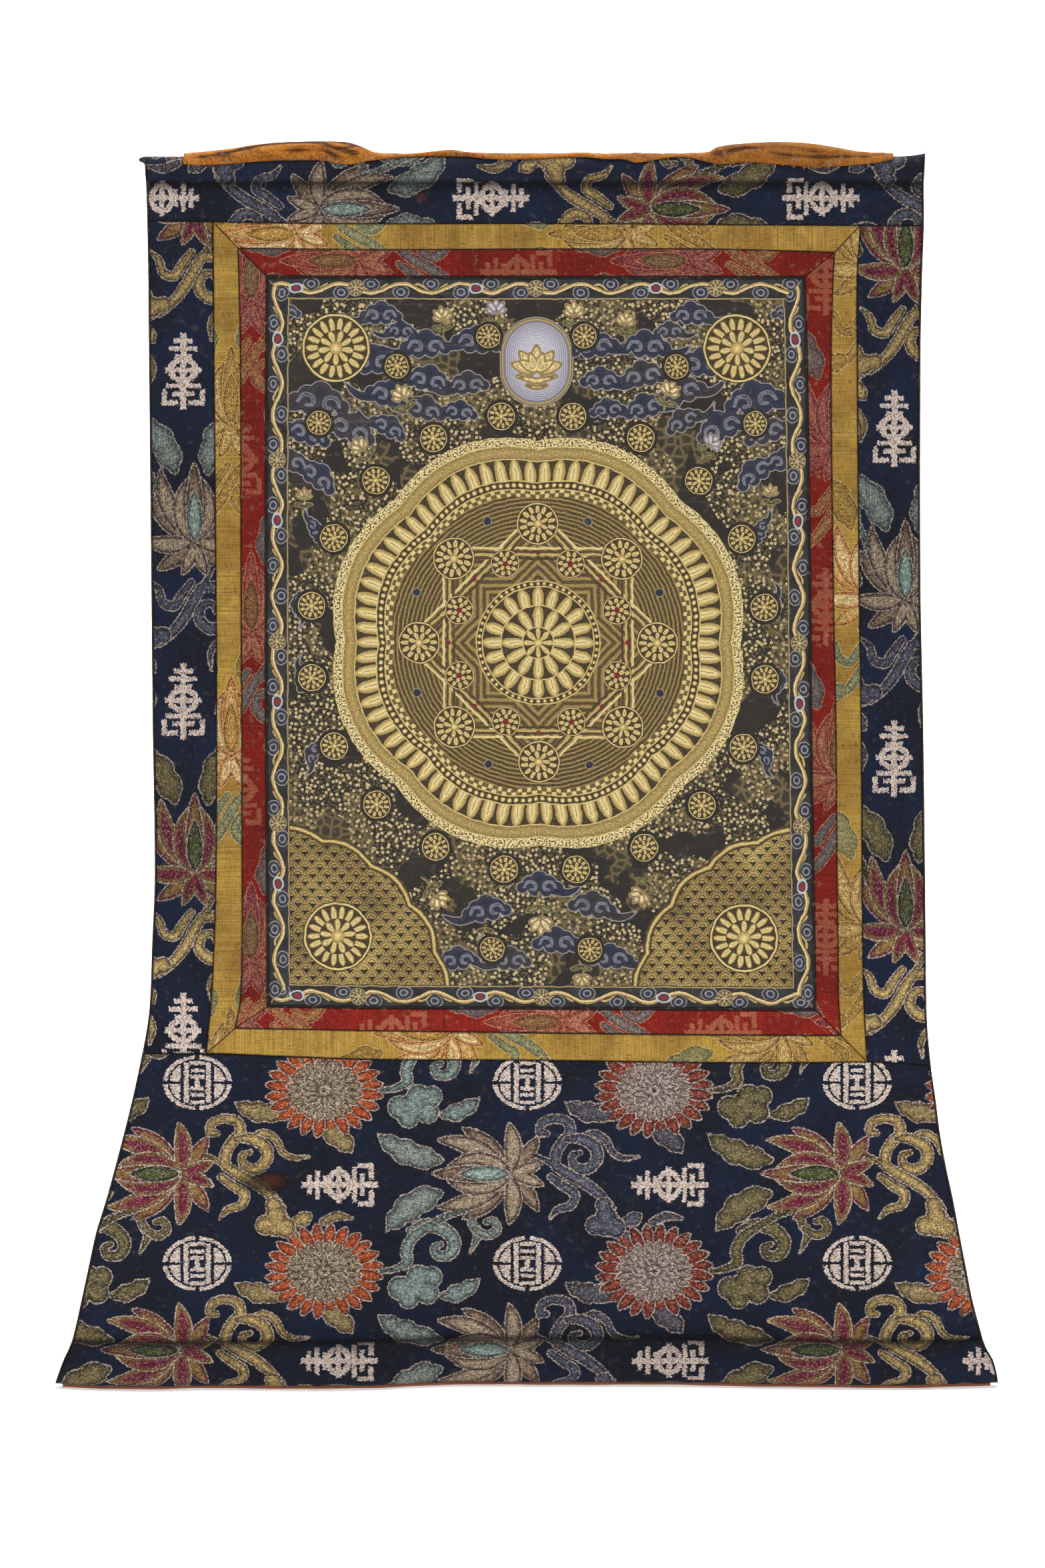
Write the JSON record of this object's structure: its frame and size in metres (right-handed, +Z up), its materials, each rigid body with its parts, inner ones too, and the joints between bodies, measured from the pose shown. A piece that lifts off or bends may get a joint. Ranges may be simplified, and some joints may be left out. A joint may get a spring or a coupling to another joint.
{
  "type": "hanging scroll painting",
  "caption": "Painted canvas framed by red and yellow silk strips on a navy brocade mount that flares at its foot, with round hems and a silk veil bunched along the top.",
  "frame": {"origin": "middle of the cloth's top edge, where the scroll is held up", "axes": "+Z up along the hanging cloth, +X to the viewer's right, the painted face looks towards -Y"},
  "size_m": [0.8401, 0.0286, 1.1121],
  "materials": {
    "painted_canvas": "matte paint with fine gold line work",
    "piping_cloth": "matte dark cord edge",
    "red_silk": "satin silk with a woven pattern",
    "yellow_silk": "ribbed silk with a faded woven pattern",
    "brocade_silk": "navy silk with brocaded flowers in coloured and metal thread",
    "binding_thread": "matte overcast thread",
    "lining_cloth": "plain matte cotton",
    "veil_silk": "thin crumpled silk"
  },
  "bodies": {
    "root": {"painting": "painted_canvas", "piping_top": "piping_cloth", "piping_foot": "piping_cloth", "piping_left": "piping_cloth", "piping_right": "piping_cloth", "red_top": "red_silk", "red_foot": "red_silk", "red_left": "red_silk", "red_right": "red_silk", "yellow_top": "yellow_silk", "yellow_foot": "yellow_silk", "yellow_left": "yellow_silk", "yellow_right": "yellow_silk", "brocade_top": "brocade_silk", "brocade_left": "brocade_silk", "brocade_right": "brocade_silk", "brocade_foot": "brocade_silk", "binding_left": "binding_thread", "binding_right": "binding_thread", "foot_lining": "lining_cloth", "veil": "veil_silk"}
  },
  "joints": []
}
